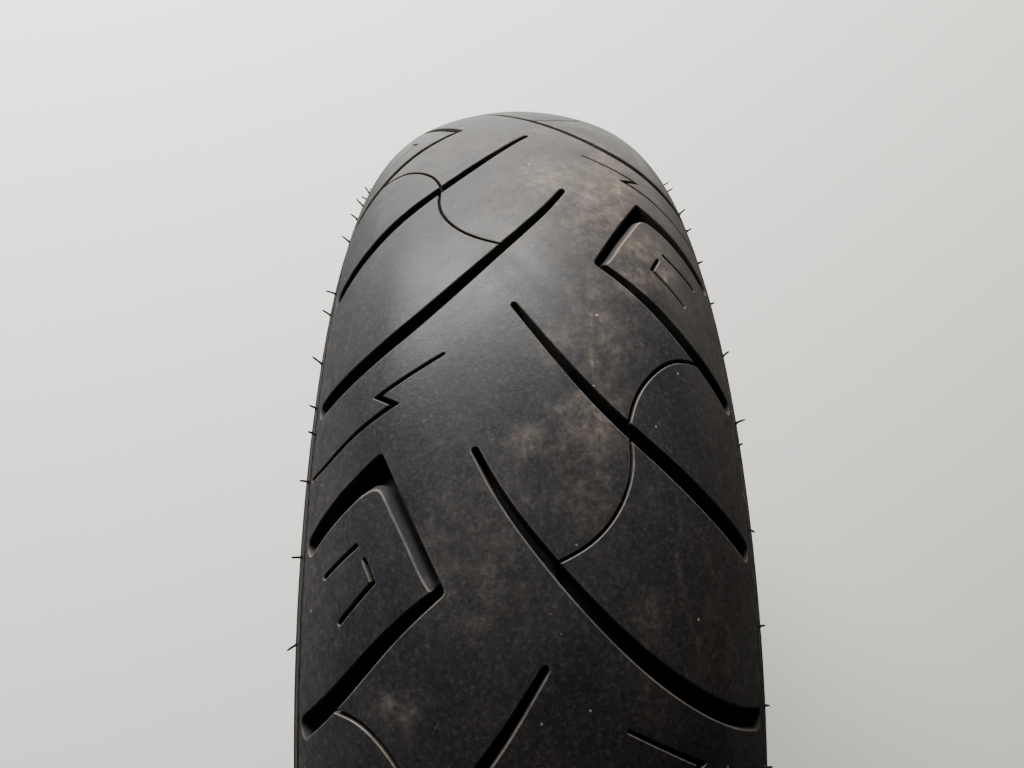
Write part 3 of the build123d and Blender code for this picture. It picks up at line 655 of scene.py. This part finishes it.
def build_sidewall(name, side):
    """One sidewall ring with its raised rings and ribbed band."""
    phi_extra = []
    for angle, half, _ in RINGS:
        phi_extra += [angle - half * 1.5, angle - half * 0.9, angle, angle + half * 0.9, angle + half * 1.5]
    phi_extra += [RIBBED[0] - 0.3, RIBBED[0], RIBBED[1], RIBBED[1] + 0.3]
    shoulder = np.arange(math.degrees(TREAD_END), 72.0, 1.0)
    phi = np.unique(np.round(np.concatenate([np.arange(72.0, 145.01, 1.6), [90.0, 145.0], phi_extra]), 3))
    lift = wall_height(phi)
    upper = phi <= 90
    radius = np.where(upper, UPPER_R, LOWER_R) + lift
    centre_a = np.where(upper, UPPER_C[0], LOWER_C[0])
    rad = np.radians(phi)
    skin = np.stack([centre_a + radius * np.sin(rad), UPPER_C[1] + radius * np.cos(rad)], -1)
    edge = np.stack([SHOULDER_C[0] + SHOULDER_R * np.sin(np.radians(shoulder)),
                     SHOULDER_C[1] + SHOULDER_R * np.cos(np.radians(shoulder))], -1)
    outside = np.concatenate([edge, skin])
    angles = np.concatenate([shoulder, phi])
    depth = CHAFER + SKIRT
    foot = np.concatenate([
        arc_points(LOWER_C, LOWER_R - CHAFER, 145.0, FLANGE_TANGENT, 3),
        arc_points((FILLET_A, FILLET_R), FILLET + CHAFER, FLANGE_TANGENT - 180.0, -90.0, 5),
        [(RIM_HALF - CHAFER, CORNER_R), (RIM_HALF - depth, CORNER_R)],
        arc_points((FILLET_A, FILLET_R), FILLET + depth, -90.0, FLANGE_TANGENT - 180.0, 5),
        arc_points(LOWER_C, LOWER_R - depth, FLANGE_TANGENT, 134.0, 6),
        arc_points(LOWER_C, LOWER_R - depth - PLY, 134.0, 124.0, 4),
    ])
    tip = np.array([LOWER_C[0] + (LOWER_R - depth - 2 * PLY) * math.sin(math.radians(124.0)),
                    LOWER_C[1] + (LOWER_R - depth - 2 * PLY) * math.cos(math.radians(124.0))])
    lower_centre = (CASING_A - CASING_LOWER_R, CASING_C_R)
    tip_angle = math.degrees(math.atan2(tip[0] - lower_centre[0], tip[1] - lower_centre[1]))
    back = np.concatenate([
        [tip], arc_points(lower_centre, CASING_LOWER_R, tip_angle, 90.0, 6),
        arc_points((CASING_A - CASING_UPPER_R, CASING_C_R), CASING_UPPER_R, 85.0, 62.0, 6),
    ])
    section = np.concatenate([outside, foot, back])
    n_out = len(outside)
    columns = 2 * RIB_COUNT
    ribbed = (angles >= RIBBED[0]) & (angles <= RIBBED[1])
    theta = np.arange(columns) * 2 * math.pi / columns
    raised = (np.arange(columns) % 2 == 0).astype(float)
    a = np.repeat(section[:, 0][:, None], columns, 1)
    r = np.repeat(section[:, 1][:, None], columns, 1)
    bump_up = np.zeros(len(section))
    bump_up[:n_out] = np.where(ribbed, RIB_HEIGHT, 0)
    push = np.zeros((len(section), 2))
    push[:n_out, 0] = np.sin(np.radians(angles))
    push[:n_out, 1] = np.cos(np.radians(angles))
    a = a + (bump_up * push[:, 0])[:, None] * raised
    r = r + (bump_up * push[:, 1])[:, None] * raised
    verts = np.stack([r * np.sin(theta), a * side, r * np.cos(theta)], -1).reshape(-1, 3) * 0.001
    rows = len(section)
    i, j = np.meshgrid(np.arange(rows), np.arange(columns), indexing="ij")
    ni, nj = (i + 1) % rows, (j + 1) % columns
    quads = np.stack([i * columns + j, ni * columns + j, ni * columns + nj, i * columns + nj], -1).reshape(-1, 4)
    if side > 0:
        quads = quads[:, ::-1]
    obj = new_object(name, verts, quads)
    turn_outwards(obj)
    mark_sharp(obj, 38.0)
    return obj


def turn_outwards(obj):
    """Make the faces of a closed mesh look outwards."""
    mesh = obj.data
    mesh.calc_loop_triangles()
    co = np.array([v.co for v in mesh.vertices])
    tri = np.array([t.vertices for t in mesh.loop_triangles])
    volume = np.einsum("ij,ij->i", co[tri[:, 0]], np.cross(co[tri[:, 1]], co[tri[:, 2]])).sum()
    if volume < 0:
        mesh.flip_normals()


def mark_sharp(obj, angle):
    """Hard edges where faces meet at more than an angle in degrees."""
    obj.data.set_sharp_from_angle(angle=math.radians(angle))


def build_hair_mesh(name, roots):
    """Thin tapering rubber hairs, one mesh for a shoulder."""
    verts = []
    faces = []
    sides = 7
    rows = 6
    for s, t, length, lean, curl in roots:
        point, normal = on_surface(np.array([s]), np.array([t]))
        root = Vector(point[0])
        up = Vector(normal[0])
        theta = s / OUTER_R
        around = Vector((math.cos(theta), 0, -math.sin(theta)))
        across = up.cross(around)
        heading = (up * math.cos(lean) + around * math.sin(lean)).normalized()
        bend_way = (around * math.sin(lean + math.pi / 2) + across * math.cos(curl * 3)).normalized()
        base = len(verts)
        for row in range(rows + 1):
            share = row / rows
            centre = root - up * 0.0004 + heading * (0.0004 + length * 0.001 * share)
            centre += bend_way * (0.001 * curl * share * share)
            radius = 0.001 * (0.5 + 0.3 * (1 - share) ** 10 - 0.1 * share)
            if row == rows:
                radius *= 0.55
            for k in range(sides):
                angle = 2 * math.pi * k / sides
                out = around * math.cos(angle) + across * math.sin(angle)
                out = (out - heading * out.dot(heading)).normalized()
                verts.append(centre + out * radius)
        for row in range(rows):
            for k in range(sides):
                a = base + row * sides + k
                b = base + row * sides + (k + 1) % sides
                faces.append((a, b, b + sides, a + sides))
        faces.append(tuple(base + rows * sides + k for k in range(sides)))
        faces.append(tuple(base + k for k in reversed(range(sides))))
    return new_object(name, verts, faces)


# Hairs that can be told apart, as (s, t, length, lean in degrees); the rest go round the tire
LEFT_HAIRS = [
    (-334, -89, 6.0, -52), (-328, -95, 6.5, -45), (-314, -98, 6.0, -46), (-291, -101, 5.5, -35),
    (-240, -100, 4.8, -8), (-228, -104, 5.0, -30), (-196, -105, 5.8, -34), (-168, -101, 3.8, -24),
    (-153, -97, 3.4, -15), (-132, -101, 4.0, -10), (-99, -103, 4.2, 0), (-63, -104, 4.4, 28),
]
RIGHT_HAIRS = [
    (-311, 96, 4.8, -40), (-293, 98, 2.6, -12), (-264, 101, 2.4, -15), (-232, 103, 2.2, -15),
    (-196, 103, 4.0, -38), (-159, 104, 4.4, -20), (-146, 100, 2.2, -22), (-108, 102, 2.0, 10),
    (-67, 103, 2.4, -18), (-34, 104, 2.4, -28),
]


def all_hairs(seen, side):
    """The hairs in view plus scattered ones over the rest of a shoulder."""
    hairs = []
    for s, t, length, lean in seen:
        hairs.append((s, t, length, math.radians(lean), rng.uniform(0.2, 0.9)))
    s = -12.0
    while s < 2 * math.pi * OUTER_R - 352:
        t = side * (99.5 + rng.uniform(-3.5, 5.0))
        lean = math.radians(rng.uniform(-38, 30))
        length = rng.choice([2.2, 3.4, 4.2, 4.8, 5.6]) + rng.uniform(-0.4, 0.4)
        hairs.append((s, t, length, lean, rng.uniform(0.1, 1.1)))
        s += rng.uniform(18, 46)
    return hairs


# Materials

def nodes_of(material):
    """Fresh node tree with its output and a Principled shader."""
    material.use_nodes = True
    tree = material.node_tree
    tree.nodes.clear()
    out = tree.nodes.new("ShaderNodeOutputMaterial")
    shader = tree.nodes.new("ShaderNodeBsdfPrincipled")
    tree.links.new(shader.outputs["BSDF"], out.inputs["Surface"])
    return tree, shader


def add(tree, kind, **inputs):
    """Node with some of its inputs set or linked."""
    node = tree.nodes.new(kind)
    for key, value in inputs.items():
        key = key.replace("_", " ")
        if isinstance(value, bpy.types.NodeSocket):
            tree.links.new(value, node.inputs[key])
        else:
            node.inputs[key].default_value = value
    return node


def noise(tree, where, scale, detail=4.0, rough=0.55, distort=0.0):
    """Noise value at object coordinates."""
    node = add(tree, "ShaderNodeTexNoise", Vector=where, Scale=scale, Detail=detail,
               Roughness=rough, Distortion=distort)
    return node.outputs["Fac"]


def ramp(tree, value, stops):
    """Greyscale ramp through (position, value) stops."""
    node = tree.nodes.new("ShaderNodeValToRGB")
    tree.links.new(value, node.inputs["Fac"])
    elements = node.color_ramp.elements
    while len(elements) > 1:
        elements.remove(elements[-1])
    for i, (position, level) in enumerate(stops):
        element = elements[0] if i == 0 else elements.new(position)
        element.position = position
        colour = level if isinstance(level, tuple) else (level, level, level, 1.0)
        element.color = colour
    return node.outputs["Color"]


def math_node(tree, operation, a, b):
    """Result of a two-value math node."""
    node = tree.nodes.new("ShaderNodeMath")
    node.operation = operation
    for socket, value in zip(node.inputs, (a, b)):
        if isinstance(value, bpy.types.NodeSocket):
            tree.links.new(value, socket)
        else:
            socket.default_value = value
    return node.outputs["Value"]


def mix(tree, factor, a, b, blend="MIX"):
    """Colour mix."""
    node = tree.nodes.new("ShaderNodeMix")
    node.data_type = "RGBA"
    node.blend_type = blend
    sockets = {"Factor": node.inputs[0], "A": node.inputs[6], "B": node.inputs[7]}
    for key, value in (("Factor", factor), ("A", a), ("B", b)):
        if isinstance(value, bpy.types.NodeSocket):
            tree.links.new(value, sockets[key])
        else:
            sockets[key].default_value = value
    return node.outputs[2]


def bump(tree, height, strength, distance, normal=None):
    """Bump from a height."""
    node = add(tree, "ShaderNodeBump", Strength=strength, Distance=distance, Height=height)
    if normal is not None:
        tree.links.new(normal, node.inputs["Normal"])
    return node.outputs["Normal"]


def rubber(name, base, light, dust, film_amount, roughness, shine, tread=False):
    """Moulded rubber: uneven black, a film of dust, pores painted dark as painted shade in the pits, pale specks and
    fine grain. On the tread also painted shade deep in the grooves and a pale rim on groove edges, partly wear and
    partly painted highlight.
    """
    material = bpy.data.materials.new(name)
    tree, shader = nodes_of(material)
    where = tree.nodes.new("ShaderNodeTexCoord").outputs["Object"]
    broad = noise(tree, where, 7.0, 6.0, 0.66, 0.3)
    cloud = noise(tree, where, 34.0, 8.0, 0.7, 0.35)
    fine = noise(tree, where, 240.0, 4.0, 0.62)
    grain = noise(tree, where, 1500.0, 3.0, 0.6)
    colour = mix(tree, ramp(tree, cloud, [(0.3, 0.0), (0.72, 1.0)]), base, light)
    grit = ramp(tree, noise(tree, where, 620.0, 3.0, 0.7), [(0.3, 0.55), (0.55, 1.0), (0.72, 2.2)])
    colour = mix(tree, 1.0, colour, grit, "MULTIPLY")
    film = ramp(tree, broad, [(0.4, 0.0), (0.72, 1.0)])
    film = multiply(tree, film, ramp(tree, cloud, [(0.35, 0.3), (0.7, 1.0)]))
    film = multiply(tree, film, film_amount)
    powder_grain = ramp(tree, fine, [(0.38, 0.35), (0.68, 1.2)])
    if tread:
        tint = mix(tree, multiply(tree, attribute(tree, "warm"), 0.75), (1, 1, 1, 1), (1.25, 1.0, 0.78, 1))
        colour = mix(tree, 1.0, colour, tint, "MULTIPLY")
        laid = multiply(tree, attribute(tree, "dust"), ramp(tree, cloud, [(0.34, 0.3), (0.66, 1.0)]))
        laid = multiply(tree, laid, ramp(tree, noise(tree, where, 110.0, 8.0, 0.75), [(0.4, 0.3), (0.62, 1.25)]))
        streaks = tree.nodes.new("ShaderNodeMapping")
        streaks.inputs["Scale"].default_value = (40.0, 260.0, 60.0)
        streaks.inputs["Rotation"].default_value = (0.4, 0.2, 0.7)
        tree.links.new(where, streaks.inputs["Vector"])
        scratch = ramp(tree, noise(tree, streaks.outputs["Vector"], 1.0, 3.0), [(0.6, 0.0), (0.7, 1.0)])
        scratched = multiply(tree, multiply(tree, laid, scratch), 0.5)
        laid = math_node(tree, "ADD", multiply(tree, laid, 0.66), scratched)
        film = math_node(tree, "ADD", film, laid)
        band = multiply(tree, attribute(tree, "band"), ramp(tree, fine, [(0.3, 0.0), (0.7, 0.1)]))
        film = math_node(tree, "ADD", film, band)
        waves = tree.nodes.new("ShaderNodeTexWave")
        waves.bands_direction = "Y"
        waves.inputs["Scale"].default_value = 14.0
        waves.inputs["Distortion"].default_value = 7.0
        waves.inputs["Detail"].default_value = 3.0
        waves.inputs["Detail Scale"].default_value = 1.6
        tree.links.new(where, waves.inputs["Vector"])
        tide = ramp(tree, waves.outputs["Fac"], [(0.6, 0.0), (0.85, 0.08), (0.97, 0.02)])
        tide = multiply(tree, tide, attribute(tree, "stain"))
        film = math_node(tree, "ADD", film, tide)
    powder = multiply(tree, powder_grain, film)
    colour = mix(tree, powder, colour, dust)
    if tread:
        crumbs = ramp(tree, noise(tree, where, 160.0, 3.0), [(0.5, 0.0), (0.64, 0.6)])
        chalk = multiply(tree, attribute(tree, "chalk"), crumbs)
        colour = mix(tree, chalk, colour, (0.34, 0.33, 0.3, 1.0))
    dots = add(tree, "ShaderNodeTexVoronoi", Vector=where, Scale=150.0, Randomness=1.0)
    speck = ramp(tree, dots.outputs["Distance"], [(0.0, 1.0), (0.05, 0.5), (0.08, 0.0)])
    speck = multiply(tree, speck, ramp(tree, noise(tree, where, 60.0, 2.0), [(0.56, 0.0), (0.62, 1.0)]))
    colour = mix(tree, multiply(tree, speck, 0.6), colour, (0.42, 0.4, 0.36, 1.0))
    dots = add(tree, "ShaderNodeTexVoronoi", Vector=where, Scale=410.0, Randomness=1.0)
    speck = ramp(tree, dots.outputs["Distance"], [(0.0, 1.0), (0.07, 0.6), (0.12, 0.0)])
    speck = multiply(tree, speck, ramp(tree, noise(tree, where, 45.0, 5.0, 0.7), [(0.54, 0.0), (0.7, 0.7)]))
    colour = mix(tree, multiply(tree, speck, 0.35), colour, (0.2, 0.185, 0.16, 1.0))
    # Pores: pits in the bump, painted near black as painted shade in the pits
    holes = add(tree, "ShaderNodeTexVoronoi", Vector=where, Scale=64.0, Randomness=1.0)
    pore = ramp(tree, holes.outputs["Distance"], [(0.0, 1.0), (0.045, 0.8), (0.06, 0.0)])
    pore = multiply(tree, pore, ramp(tree, noise(tree, where, 31.0, 2.0), [(0.52, 0.0), (0.56, 1.0)]))
    colour = mix(tree, pore, colour, (0.004, 0.004, 0.004, 1.0))
    scuff = noise(tree, where, 19.0, 10.0, 0.78, 0.6)
    rough_value = ramp(tree, scuff, [(0.32, roughness - 0.09), (0.7, roughness + 0.13)])
    if tread:
        rough_value = math_node(tree, "ADD", rough_value, multiply(tree, powder, 0.25))
        rough_value = math_node(tree, "ADD", rough_value, multiply(tree, attribute(tree, "band"), 0.5))
        # Painted shade: deeper parts of grooves, sipes and the bevel are painted near black; they are also made rougher
        sunk = attribute(tree, "groove")
        rough_value = math_node(tree, "ADD", rough_value, multiply(tree, sunk, 0.35))
        colour = mix(tree, multiply(tree, sunk, 0.85), colour, (0.007, 0.007, 0.008, 1.0))
        # Pale rim on groove edges: partly worn rubber, partly a painted highlight
        edge_wear_and_highlight = multiply(tree, attribute(tree, "edge"), ramp(tree, cloud, [(0.32, 0.05), (0.66, 0.6)]))
        colour = mix(tree, edge_wear_and_highlight, colour, (0.13, 0.115, 0.095, 1.0))
    tree.links.new(colour, shader.inputs["Base Color"])
    tree.links.new(rough_value, shader.inputs["Roughness"])
    shader.inputs["Specular IOR Level"].default_value = shine
    height = math_node(tree, "ADD", multiply(tree, fine, 0.6), multiply(tree, grain, 0.35))
    height = math_node(tree, "SUBTRACT", height, multiply(tree, pore, 1.5))
    tree.links.new(bump(tree, height, 0.5, 0.0003), shader.inputs["Normal"])
    return material


def multiply(tree, a, b):
    """Product of two values."""
    return math_node(tree, "MULTIPLY", a, b)


def attribute(tree, name):
    """Value of a mesh attribute."""
    node = tree.nodes.new("ShaderNodeAttribute")
    node.attribute_name = name
    return node.outputs["Fac"]


def plain_rubber(name, low, high, roughness, bladder=False, shine=0.5):
    """Unseen or inner rubber: mottled, with the faint slanting lines a curing bladder leaves."""
    material = bpy.data.materials.new(name)
    tree, shader = nodes_of(material)
    where = tree.nodes.new("ShaderNodeTexCoord").outputs["Object"]
    cloud = noise(tree, where, 18.0, 5.0, 0.6, 0.5)
    fine = noise(tree, where, 300.0, 3.0, 0.6)
    colour = mix(tree, ramp(tree, cloud, [(0.3, 0.0), (0.7, 1.0)]), low, high)
    height = multiply(tree, fine, 0.5)
    if bladder:
        lines = tree.nodes.new("ShaderNodeTexWave")
        lines.inputs["Scale"].default_value = 38.0
        lines.inputs["Distortion"].default_value = 0.6
        lines.wave_profile = "SIN"
        slant = tree.nodes.new("ShaderNodeMapping")
        slant.inputs["Rotation"].default_value = (0.6, 0.3, 0.8)
        tree.links.new(where, slant.inputs["Vector"])
        tree.links.new(slant.outputs["Vector"], lines.inputs["Vector"])
        raised = ramp(tree, lines.outputs["Fac"], [(0.8, 0.0), (0.95, 1.0)])
        height = math_node(tree, "ADD", height, raised)
        pale = tuple(min(c * 2.2, 1.0) for c in high[:3]) + (1.0,)
        colour = mix(tree, multiply(tree, raised, 0.25), colour, pale)
    tree.links.new(colour, shader.inputs["Base Color"])
    rough_value = ramp(tree, cloud, [(0.3, roughness - 0.05), (0.7, roughness + 0.07)])
    tree.links.new(rough_value, shader.inputs["Roughness"])
    shader.inputs["Specular IOR Level"].default_value = shine
    tree.links.new(bump(tree, height, 0.3, 0.0003), shader.inputs["Normal"])
    return material


def cord_fabric(name, rubber_colour, cord_colour, slant_angle):
    """Rubberised cord sheet: parallel cords showing through thin rubber."""
    material = bpy.data.materials.new(name)
    tree, shader = nodes_of(material)
    where = tree.nodes.new("ShaderNodeTexCoord").outputs["Object"]
    slant = tree.nodes.new("ShaderNodeMapping")
    slant.inputs["Rotation"].default_value = (0.0, slant_angle, slant_angle)
    tree.links.new(where, slant.inputs["Vector"])
    cords = tree.nodes.new("ShaderNodeTexWave")
    cords.inputs["Scale"].default_value = 140.0
    cords.inputs["Distortion"].default_value = 0.3
    tree.links.new(slant.outputs["Vector"], cords.inputs["Vector"])
    cloud = noise(tree, where, 26.0, 4.0)
    showing = ramp(tree, cords.outputs["Fac"], [(0.35, 0.0), (0.7, 1.0)])
    showing = multiply(tree, showing, ramp(tree, cloud, [(0.3, 0.35), (0.7, 0.9)]))
    tree.links.new(mix(tree, showing, rubber_colour, cord_colour), shader.inputs["Base Color"])
    shader.inputs["Roughness"].default_value = 0.75
    tree.links.new(bump(tree, cords.outputs["Fac"], 0.5, 0.0003), shader.inputs["Normal"])
    return material


def bead_wire_metal(name):
    """Bronze-coated steel wire with fine drawing lines and darker tarnish."""
    material = bpy.data.materials.new(name)
    tree, shader = nodes_of(material)
    where = tree.nodes.new("ShaderNodeTexCoord").outputs["Object"]
    cloud = noise(tree, where, 60.0, 5.0)
    lines = noise(tree, where, 900.0, 2.0)
    tarnish = ramp(tree, cloud, [(0.35, 0.0), (0.65, 1.0)])
    colour = mix(tree, tarnish, (0.5, 0.36, 0.18, 1), (0.64, 0.5, 0.3, 1))
    tree.links.new(colour, shader.inputs["Base Color"])
    tree.links.new(ramp(tree, lines, [(0.3, 0.22), (0.7, 0.38)]), shader.inputs["Roughness"])
    shader.inputs["Metallic"].default_value = 1.0
    return material


def dress(obj, material):
    """Give an object one material."""
    if obj.data.materials:
        obj.data.materials[0] = material
    else:
        obj.data.materials.append(material)


LOOKS = {
    "tread_rubber": rubber(
        "tread_rubber_look", (0.0062, 0.0068, 0.0085, 1), (0.0105, 0.011, 0.013, 1),
        (0.125, 0.1, 0.076, 1), 0.1, 0.44, 0.09, tread=True,
    ),
    "sidewall_rubber": rubber(
        "sidewall_rubber_look", (0.012, 0.0122, 0.0122, 1), (0.02, 0.02, 0.0185, 1),
        (0.08, 0.073, 0.06, 1), 0.22, 0.8, 0.04,
    ),
    "hair_rubber": plain_rubber("moulding_hair_look", (0.004, 0.004, 0.004, 1), (0.01, 0.01, 0.01, 1), 0.7, shine=0.05),
    "base_rubber": plain_rubber("base_rubber_look", (0.012, 0.012, 0.012, 1), (0.022, 0.022, 0.022, 1), 0.62),
    "liner_rubber": plain_rubber("liner_rubber_look", (0.014, 0.014, 0.0145, 1), (0.03, 0.03, 0.031, 1), 0.5, bladder=True),
    "filler_rubber": plain_rubber("filler_rubber_look", (0.01, 0.01, 0.01, 1), (0.018, 0.018, 0.018, 1), 0.55),
    "chafer_rubber": plain_rubber("chafer_rubber_look", (0.016, 0.016, 0.017, 1), (0.028, 0.028, 0.029, 1), 0.42),
    "belt_fabric": cord_fabric("belt_fabric_look", (0.03, 0.028, 0.025, 1), (0.2, 0.15, 0.09, 1), 0.5),
    "ply_fabric": cord_fabric("ply_fabric_look", (0.035, 0.032, 0.03, 1), (0.26, 0.21, 0.15, 1), -0.7),
    "bead_steel": bead_wire_metal("bead_steel_look"),
}

tread = build_tread()
dress(tread, LOOKS["tread_rubber"])
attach(tread, "root")
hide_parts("tread")

replaced = {"tread"}
for side, seen, side_name in ((-1, LEFT_HAIRS, "left"), (1, RIGHT_HAIRS, "right")):
    hair = build_hair_mesh("moulding_hairs_" + side_name, all_hairs(seen, side))
    dress(hair, LOOKS["hair_rubber"])
    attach(hair, "root")
    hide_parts("vent_spews_" + side_name)
    wall = build_sidewall("sidewall_detail_" + side_name, side)
    dress(wall, LOOKS["sidewall_rubber"])
    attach(wall, "root")
    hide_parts("sidewall_" + side_name)
    replaced.update({"vent_spews_" + side_name, "sidewall_" + side_name})

slots = {part["node"]: part["material_slot"] for part in frame["record"].get("subparts", [])}
for node_name, obj in frame["nodes"].items():
    if node_name not in replaced:
        dress(obj, LOOKS[slots[node_name]])
        obj.data.polygons.foreach_set("use_smooth", [True] * len(obj.data.polygons))


# Studio

def plain(name, colour, roughness):
    """Pale matt floor with a trace of unevenness, and painted light falloff: darker and warmer towards +Y."""
    material = bpy.data.materials.new(name)
    tree, shader = nodes_of(material)
    where = tree.nodes.new("ShaderNodeTexCoord").outputs["Object"]
    shade = noise(tree, where, 1.3, 3.0)
    darker = tuple(c * 0.97 for c in colour[:3]) + (1.0,)
    # Painted light falloff: the floor colour turns darker and warmer towards +Y
    across = tree.nodes.new("ShaderNodeSeparateXYZ")
    tree.links.new(where, across.inputs["Vector"])
    falling = tree.nodes.new("ShaderNodeMapRange")
    tree.links.new(across.outputs["Y"], falling.inputs["Value"])
    for key, value in (("From Min", -0.6), ("From Max", 0.6), ("To Min", 0.0), ("To Max", 1.0)):
        falling.inputs[key].default_value = value
    painted_falloff_tint = (colour[0] * 0.8, colour[1] * 0.78, colour[2] * 0.75, 1.0)
    even = mix(tree, shade, darker, colour)
    tree.links.new(mix(tree, falling.outputs["Result"], even, painted_falloff_tint), shader.inputs["Base Color"])
    shader.inputs["Roughness"].default_value = roughness
    return material


floor_z = cad_low[2]
floor = new_object(
    "studio_floor",
    [(-4, -4, floor_z), (4, -4, floor_z), (4, 4, floor_z), (-4, 4, floor_z)],
    [(0, 1, 2, 3)], smooth=False,
)
dress(floor, plain("studio_floor_look", (0.86, 0.855, 0.835, 1), 0.7))


def area_light(name, place, target, size, power, colour=(1, 1, 1)):
    """Soft box aimed at a point."""
    data = bpy.data.lights.new(name, "AREA")
    data.shape = "RECTANGLE"
    data.size = size[0]
    data.size_y = size[1]
    data.energy = power
    data.color = colour
    obj = bpy.data.objects.new(name, data)
    bpy.context.scene.collection.objects.link(obj)
    obj.location = place
    obj.rotation_euler = (Vector(target) - Vector(place)).to_track_quat("-Z", "Y").to_euler()
    return obj


area_light("window", (-2.6, -0.6, 0.62), (0, 0, -0.1), (2.4, 1.0), 470, (1.0, 0.985, 0.955))
area_light("side_glow", (0.3, -2.6, 1.1), (0, -0.4, -0.3), (1.6, 1.0), 3, (0.85, 0.92, 1.0))

world = bpy.data.worlds.new("studio_world")
bpy.context.scene.world = world
world.use_nodes = True
background = world.node_tree.nodes["Background"]
background.inputs["Color"].default_value = (0.93, 0.95, 1.0, 1.0)
background.inputs["Strength"].default_value = 0.07

# Camera: looking down on the tread from just behind the top of the tire
ROLL = -0.0133
YAW = -0.0046
EYE = Vector((0.0178, 0.4543, 1.7132)) * (OUTER_R * 0.001)
to_view = Matrix(((0, 1, 0), (1, 0, 0), (0, 0, -1)))
yaw = Matrix(((math.cos(YAW), 0, math.sin(YAW)), (0, 1, 0), (-math.sin(YAW), 0, math.cos(YAW))))
roll = Matrix(((math.cos(ROLL), -math.sin(ROLL), 0), (math.sin(ROLL), math.cos(ROLL), 0), (0, 0, 1)))
turned = roll @ yaw @ to_view
camera_data = bpy.data.cameras.new("camera")
camera_data.sensor_width = 36.0
camera_data.lens = 36.0 * 770.0 / 1024.0
camera = bpy.data.objects.new("camera", camera_data)
bpy.context.scene.collection.objects.link(camera)
facing = (Matrix(((1, 0, 0), (0, -1, 0), (0, 0, -1))) @ turned).transposed()
place = -(turned.transposed() @ EYE)
camera.matrix_world = Matrix.Translation(place) @ facing.to_4x4()
bpy.context.scene.camera = camera

bpy.context.view_layer.update()
